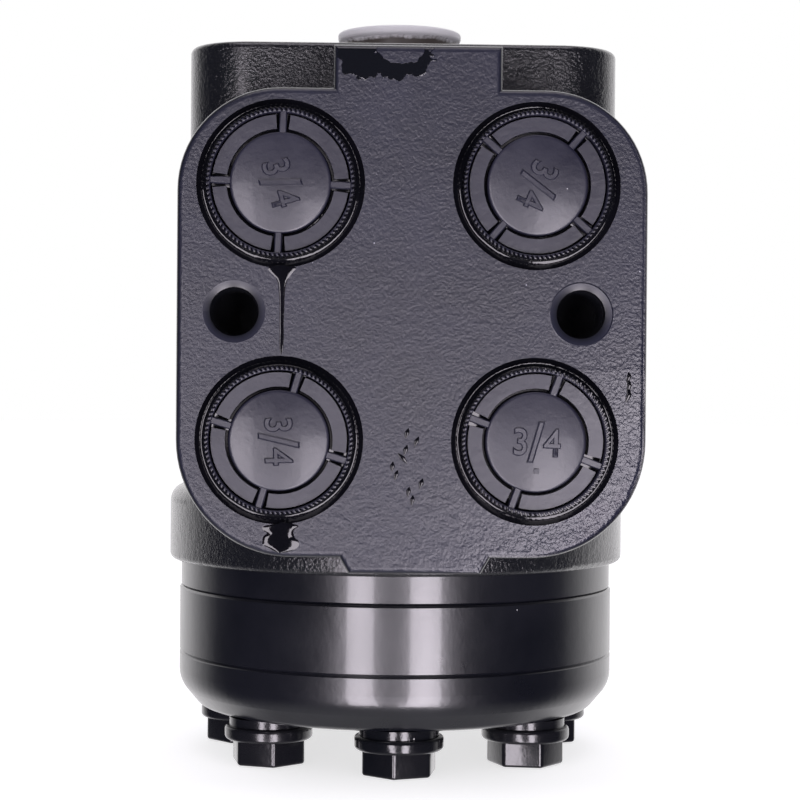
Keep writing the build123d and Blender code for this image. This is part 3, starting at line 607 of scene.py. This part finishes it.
# %% Webs, ribs and the size number
web_width = 1.25 * MM
web_top = 1.7 * MM
panel_inner = 9.3 * MM
panel_outer = rim_inner - 0.35 * MM
panel_top = 1.15 * MM
panel_gap = 0.38 * MM
rib_count = 96
rib_slant = math.radians(32)
rib_size = (0.95 * MM, 0.46 * MM, 0.96 * MM)
rib_radius = rim_radius - 0.32 * MM
rib_height = rim_top - 0.33 * MM
number_row = (("3", 5.0, -2.7), ("/", 7.2, 0.0), ("4", 5.0, 2.8))
number_thick = 0.62 * MM


def bar(bm, size, where, bevel):
    """A bevelled bar of that size, put in place by a matrix."""
    made = bmesh.ops.create_cube(bm, size=1.0)
    bmesh.ops.scale(bm, verts=made["verts"], vec=size)
    edges = list({e for v in made["verts"] for e in v.link_edges})
    rounded = bmesh.ops.bevel(bm, geom=edges, offset=bevel, offset_type="OFFSET", segments=1, profile=0.5,
                              affect="EDGES", material=-1)
    corners = {v for f in rounded["faces"] for v in f.verts} | {v for v in made["verts"] if v.is_valid}
    bmesh.ops.transform(bm, matrix=where, verts=list(corners))


def add_webs(bm, angle):
    """Four webs between the disc and the rim."""
    length = rim_inner - disc_radius + 0.5 * MM
    middle = (rim_inner + disc_radius) / 2
    for quarter in range(4):
        spoke = Matrix.Rotation(angle + quarter * math.pi / 2, 4, "Z")
        tall = web_top - pocket_floor + 0.1 * MM
        where = spoke @ Matrix.Translation((middle, 0.0, web_top - tall / 2))
        bar(bm, (length, web_width, tall), where, 0.18 * MM)


def add_panels(bm, angle):
    """Four raised panels on the pocket floor, with a dark groove round each."""
    low, high = pocket_floor - 0.05 * MM, panel_top
    gap = panel_gap + web_width / 2
    for quarter in range(4):
        corners = [bm.verts.new(p) for p in ((panel_inner, 0, low), (panel_outer, 0, low),
                                             (panel_outer, 0, high), (panel_inner, 0, high))]
        section = bm.faces.new(corners)
        skip = gap / panel_inner
        swing = Matrix.Rotation(angle + quarter * math.pi / 2 + skip, 4, "Z")
        bmesh.ops.transform(bm, matrix=swing, verts=corners)
        bmesh.ops.spin(bm, geom=[section] + section.edges[:] + corners, cent=(0, 0, 0), axis=(0, 0, 1),
                       dvec=(0, 0, 0), angle=math.pi / 2 - 2 * skip, steps=16, use_merge=False,
                       use_duplicate=False)
        around = {e for v in corners if v.is_valid for e in v.link_edges}
        bmesh.ops.holes_fill(bm, edges=[e for e in around if len(e.link_faces) == 1], sides=0)


def add_ribs(bm):
    """Slanted grip ribs around the lip, like the strands of a rope."""
    for step in range(rib_count):
        spoke = Matrix.Rotation(2 * math.pi * step / rib_count, 4, "Z")
        where = spoke @ Matrix.Translation((rib_radius, 0.0, rib_height))
        where = where @ Matrix.Rotation(rib_slant, 4, "Z")
        bar(bm, rib_size, where, 0.12 * MM)


def add_glyph(bm, letter, tall, shift, where):
    """One raised character, scaled to its height."""
    curve = bpy.data.curves.new("glyph", "FONT")
    curve.body = letter
    curve.extrude = 0.02
    curve.bevel_depth = 0.03
    curve.bevel_resolution = 0
    curve.resolution_u = 4
    holder = bpy.data.objects.new("glyph", curve)
    bpy.context.scene.collection.objects.link(holder)
    bpy.context.view_layer.update()
    mesh = bpy.data.meshes.new_from_object(holder)
    bpy.data.objects.remove(holder)
    low = Vector(min(v.co[i] for v in mesh.vertices) for i in range(3))
    high = Vector(max(v.co[i] for v in mesh.vertices) for i in range(3))
    grow = tall / (high.y - low.y)
    centre = (low + high) / 2
    flat = number_thick / (high.z - low.z)
    sized = Matrix.Diagonal((grow * 0.9, grow, flat, 1.0)) @ Matrix.Translation(-centre)
    mesh.transform(where @ Matrix.Translation((shift, 0.0, 0.0)) @ sized)
    bm.from_mesh(mesh)
    bpy.data.meshes.remove(mesh)


def add_number(bm, angle, mark):
    """The generic size number 3/4, turned with its plug."""
    raised = disc_top + 0.06 * MM
    where = Matrix.Rotation(angle, 4, "Z") @ Matrix.Translation((0.0, 0.0, raised))
    for letter, tall, shift in number_row:
        add_glyph(bm, letter, tall * MM, shift * MM, where)
    if mark:
        below = where @ Matrix.Translation((0.3 * MM, -5.0 * MM, 0.0))
        bar(bm, (0.9 * MM, 0.9 * MM, 0.3 * MM), below, 0.05 * MM)


# %% Stand the plugs in their ports
web_turns = {"upper_left": -2.0, "upper_right": -41.0, "lower_left": -16.5, "lower_right": 70.0}
number_turns = {"upper_left": -74.0, "upper_right": -113.0, "lower_left": -88.5, "lower_right": -2.0}
wet_from = 12.5 * MM
wet_paint_and_shade_below = 0.1 * MM
outward = Matrix(((1, 0, 0, 0), (0, 0, -1, 0), (0, 1, 0, 0), (0, 0, 0, 1)))


def smooth_by_angle(piece, limit):
    """Smooth shading that stays crisp across sharp edges."""
    for polygon in piece.data.polygons:
        polygon.use_smooth = True
    bm = bmesh.new()
    bm.from_mesh(piece.data)
    for edge in bm.edges:
        edge.smooth = len(edge.link_faces) == 2 and edge.calc_face_angle() < limit
    bm.to_mesh(piece.data)
    bm.free()


for name, place in ports.items():
    bm = moulded(plug_section, 0.22 * MM, 3)
    add_webs(bm, math.radians(web_turns[name]))
    add_panels(bm, math.radians(web_turns[name]))
    add_ribs(bm)
    add_number(bm, math.radians(number_turns[name]), name == "lower_right")
    # Faces on the rim and on the pocket floor get the wet black paint. On the pocket floor its darker
    # colour is painted shade, which darkens the grooves round the panels.
    for face in bm.faces:
        middle = face.calc_center_median()
        in_wet_paint_or_groove_shade = math.hypot(middle.x, middle.y) > wet_from or middle.z < wet_paint_and_shade_below
        face.material_index = 1 if in_wet_paint_or_groove_shade else 0
    bmesh.ops.transform(bm, matrix=Matrix.Translation(place) @ outward, verts=bm.verts)
    plug = linked("moulded_plug_" + name, bm)
    smooth_by_angle(plug, math.radians(40))
    plug.data.materials.append(plug_plastic)
    plug.data.materials.append(wet_paint)
    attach(plug, "port_plug_" + name)
    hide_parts("plug_" + name)
    print(plug.name, len(plug.data.polygons), "faces")

# %% [markdown]
# Screw heads are forged and then painted, so no edge of a hexagon is sharp. A copy of the packed
# screws is merged, its flat faces are dissolved into single ones, and the free edges of the heads are
# bevelled. The bevels catch the lamps as bright lines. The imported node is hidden, and the copy stands
# for it.

# %% Screw heads
same_point = 0.002 * MM
flat_within = math.radians(0.5)
head_height = 4.80 * MM
head_top = cad_low.z + head_height
head_end = cad_low.z + 0.1 * MM
head_bevel = 0.6 * MM


def finish_screws(name, node):
    """Heads with rounded hexagon edges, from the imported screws."""
    bm = bmesh.new()
    bm.from_mesh(frame["nodes"][node].data)
    bmesh.ops.remove_doubles(bm, verts=bm.verts, dist=same_point)
    bmesh.ops.dissolve_limit(bm, angle_limit=flat_within, verts=bm.verts, edges=bm.edges)
    edges = [e for e in bm.edges if len(e.link_faces) == 2 and e.calc_face_angle() > math.radians(25)
             and all(v.co.z < head_top for v in e.verts) and any(v.co.z < head_end for v in e.verts)]
    bmesh.ops.bevel(bm, geom=edges, offset=head_bevel, offset_type="OFFSET", segments=3, profile=0.5,
                    affect="EDGES", material=-1)
    piece = linked(name, bm)
    smooth_by_angle(piece, math.radians(40))
    piece.data.materials.append(painted_screws)
    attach(piece, "unit")
    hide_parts(node)
    print(name, len(piece.data.polygons), "faces,", len(edges), "edges rounded")


finish_screws("collar_screws", "end_screws")
finish_screws("collar_pin_screw", "pin_screw")

# %% [markdown]
# The tapped holes between the ports need their threads. A small wedge is spun around the hole while
# it moves inwards, and that gives the helix. The column holes on top get the same ridge, and the holes
# of the port face end in the cone of the drill.

# %% Threads
hole_depth = 18 * MM
thread_pitch = 1.5 * MM
thread_root = 4.27 * MM
thread_crest = 3.92 * MM
steps_per_turn = 28
drill_height = 2.4 * MM


def hole_part(name, bm, limit):
    """A piece inside a tapped hole, with the finish of the screws."""
    piece = linked(name, bm)
    smooth_by_angle(piece, limit)
    piece.data.materials.append(painted_screws)
    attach(piece, "unit")
    print(name, len(piece.data.polygons), "faces")


def thread(name, mouth, into, depth):
    """A helical ridge on the wall of a tapped hole, from its mouth inwards."""
    bm = bmesh.new()
    half = thread_pitch * 0.42
    outline = ((thread_root, 0, -half), (thread_crest, 0, 0), (thread_root, 0, half))
    wedge = [bm.verts.new(p) for p in outline]
    edges = [bm.edges.new((wedge[0], wedge[1])), bm.edges.new((wedge[1], wedge[2]))]
    turns = (depth - 2 * thread_pitch) / thread_pitch
    steps = int(turns * steps_per_turn)
    bmesh.ops.spin(bm, geom=wedge + edges, cent=(0, 0, 0), axis=(0, 0, 1),
                   dvec=(0, 0, -thread_pitch / steps_per_turn), angle=2 * math.pi * turns, steps=steps,
                   use_merge=False, use_duplicate=False)
    bmesh.ops.translate(bm, verts=bm.verts, vec=(0, 0, -1.9 * thread_pitch))
    turned = into.to_track_quat("-Z", "Y").to_matrix().to_4x4()
    bmesh.ops.transform(bm, matrix=Matrix.Translation(mouth) @ turned, verts=bm.verts)
    bmesh.ops.recalc_face_normals(bm, faces=bm.faces)
    hole_part(name, bm, math.radians(50))


def drill_point(name, mouth, into, depth):
    """The cone that the drill leaves at the bottom of a blind hole."""
    bm = bmesh.new()
    bmesh.ops.create_cone(bm, cap_ends=False, segments=48, radius1=thread_root, radius2=0.05 * MM,
                          depth=drill_height)
    bmesh.ops.translate(bm, verts=bm.verts, vec=(0, 0, depth - drill_height / 2 - 0.1 * MM))
    turned = into.to_track_quat("Z", "Y").to_matrix().to_4x4()
    bmesh.ops.transform(bm, matrix=Matrix.Translation(mouth) @ turned, verts=bm.verts)
    bmesh.ops.reverse_faces(bm, faces=bm.faces)
    hole_part(name, bm, math.radians(60))


for name, side in (("left", -1), ("right", 1)):
    mouth = Vector((side * hole_step, face_y, port_level))
    thread("thread_face_" + name, mouth, Vector((0, 1, 0)), hole_depth)
    drill_point("drill_point_" + name, mouth, Vector((0, 1, 0)), hole_depth)
for number in range(4):
    angle = math.radians(45 + 90 * number)
    mouth = Vector((column_radius * math.cos(angle), column_radius * math.sin(angle), 0.0))
    thread("thread_column_" + str(number + 1), mouth, Vector((0, 0, -1)), hole_depth)
print("column threads on a circle of", column_radius * 2 / MM, "mm")

# %% [markdown]
# The input cover is a lid on a slightly narrower collar, with a hollow stem that grips the spline.
# It is one spun section, and a bevel rounds the edges of the lid.

# %% Input cover
cover_low, cover_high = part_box("spline_cover")
seat = cover_low.z + 9.0 * MM
lid = cover_high.z - 0.05 * MM
cover_section = [
    (0.0, lid), (8.0 * MM, lid - 0.10 * MM), (12.4 * MM, lid - 0.45 * MM), (12.4 * MM, lid - 2.0 * MM),
    (11.5 * MM, lid - 2.4 * MM), (11.5 * MM, seat), (8.2 * MM, seat), (8.2 * MM, cover_low.z),
    (6.8 * MM, cover_low.z), (6.8 * MM, lid - 1.6 * MM), (0.0, lid - 1.6 * MM),
]
cover = linked("push_in_cover", moulded(cover_section, 0.5 * MM, 4))
smooth_by_angle(cover, math.radians(40))
cover.data.materials.append(cover_plastic)
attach(cover, "input_cover")
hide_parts("spline_cover")
print(cover.name, len(cover.data.polygons), "faces, top at", round(lid / MM, 2), "mm")

# %% [markdown]
# The unit was sprayed and dried standing up, so the paint ran. Each run is a strip of a grid that is
# pulled to a row of stations, wide where the paint pooled and narrow where it trickled, and domed
# across. A subdivision surface then rounds it as liquid would.

# %% Paint runs
strip_columns = 8
sunk = 0.03
full_dome_half = 0.8
plumpness = 0.7


def as_wet_paint(piece):
    """Paint that ran on the port face: it looks along -Y, is smooth, wet and stays on the unit."""
    if sum(p.normal.y for p in piece.data.polygons) > 0:
        piece.data.flip_normals()
    for polygon in piece.data.polygons:
        polygon.use_smooth = True
    piece.data.materials.append(wet_paint)
    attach(piece, "unit")


def paint_run(name, stations, thick, wobble, seed):
    """A domed strip of paint on the port face. Stations are (x, z, half width) in mm."""
    draw = random.Random(seed)
    rows = len(stations) - 1
    bm = bmesh.new()
    bmesh.ops.create_grid(bm, x_segments=strip_columns, y_segments=rows, size=1.0)
    for vert in bm.verts:
        row = round((vert.co.y + 1) / 2 * rows)
        across = vert.co.x
        x, z, half = stations[row]
        before, after = stations[max(row - 1, 0)], stations[min(row + 1, rows)]
        along = Vector((after[0] - before[0], after[1] - before[1])).normalized()
        edge = half * (1.0 + draw.uniform(-wobble, wobble))
        dome = math.sqrt(max(0.0, 1.0 - across * across)) * min(1.0, half / full_dome_half)
        rise = thick * dome ** plumpness
        vert.co = ((x - across * edge * along.y) * MM, face_y + (sunk - rise) * MM,
                   (z + across * edge * along.x) * MM)
    bmesh.ops.recalc_face_normals(bm, faces=bm.faces)
    run = linked(name, bm)
    rounder = run.modifiers.new("rounder", "SUBSURF")
    rounder.levels = 2
    rounder.render_levels = 2
    as_wet_paint(run)
    print(name, len(stations), "stations")


under_port = [
    (-21.9, -42.3, 0.3), (-21.9, -42.6, 2.9), (-21.9, -43.2, 2.5), (-21.8, -44.2, 1.4),
    (-21.8, -45.2, 0.75), (-21.9, -47.0, 0.55), (-21.8, -49.5, 0.45), (-21.9, -52.0, 0.42),
    (-21.8, -54.5, 0.40), (-21.9, -56.4, 0.45), (-21.9, -57.3, 0.30), (-21.9, -57.8, 0.1),
]
low_pool = [
    (-21.9, -86.9, 0.6), (-21.7, -87.4, 3.3), (-21.9, -88.1, 3.0), (-21.6, -88.8, 2.2),
    (-21.9, -89.5, 2.7), (-21.8, -90.2, 3.3), (-21.7, -90.9, 3.0), (-21.9, -91.6, 1.9),
    (-21.9, -92.1, 0.4),
]
right_edge = [
    (38.4, -60.4, 0.15), (38.7, -61.0, 0.5), (38.2, -61.8, 0.3), (38.8, -62.6, 0.5),
    (38.3, -63.4, 0.3), (38.7, -64.2, 0.5), (38.2, -65.0, 0.4), (38.0, -65.7, 0.1),
]
paint_run("paint_run_port", under_port, thick=0.12, wobble=0.08, seed=3)
paint_run("paint_pool_low", low_pool, thick=0.26, wobble=0.20, seed=11)
paint_run("paint_run_right", right_edge, thick=0.22, wobble=0.12, seed=13)

# %% Wet paint in the gap round each plug
ring_section = [(r * MM, rise * MM) for r, rise in (
    (12.95, -0.35), (13.3, -0.62), (13.9, -0.62), (14.5, -0.12), (14.75, -0.02))]
ring_steps = 72
uneven_within = 14.0 * MM
for name, place in ports.items():
    bm = spun(ring_section, ring_steps)
    draw = random.Random(len(name))
    for vert in bm.verts:
        if math.hypot(vert.co.x, vert.co.y) < uneven_within:
            vert.co.z += draw.uniform(-0.05, 0.05) * MM
    bmesh.ops.transform(bm, matrix=Matrix.Translation(place) @ outward, verts=bm.verts)
    bmesh.ops.recalc_face_normals(bm, faces=bm.faces)
    as_wet_paint(linked("paint_ring_" + name, bm))
print("paint rings:", len(ports))

# %% Wrinkles in the paint between the lower ports
wrinkle_top = -71.2
wrinkle_step = 1.45
draw = random.Random(29)
for number in range(9):
    x = -0.3 + draw.uniform(-2.8, 2.8)
    z = wrinkle_top - number * wrinkle_step
    lean = draw.uniform(-0.9, 0.9)
    stations = [(x - lean, z + 0.8, 0.08), (x - lean * 0.5, z + 0.4, 0.32), (x, z, 0.5),
                (x + lean * 0.5, z - 0.5, 0.30), (x + lean, z - 1.0, 0.08)]
    paint_run("paint_wrinkle_" + str(number + 1), stations, thick=0.22, wobble=0.08, seed=number)
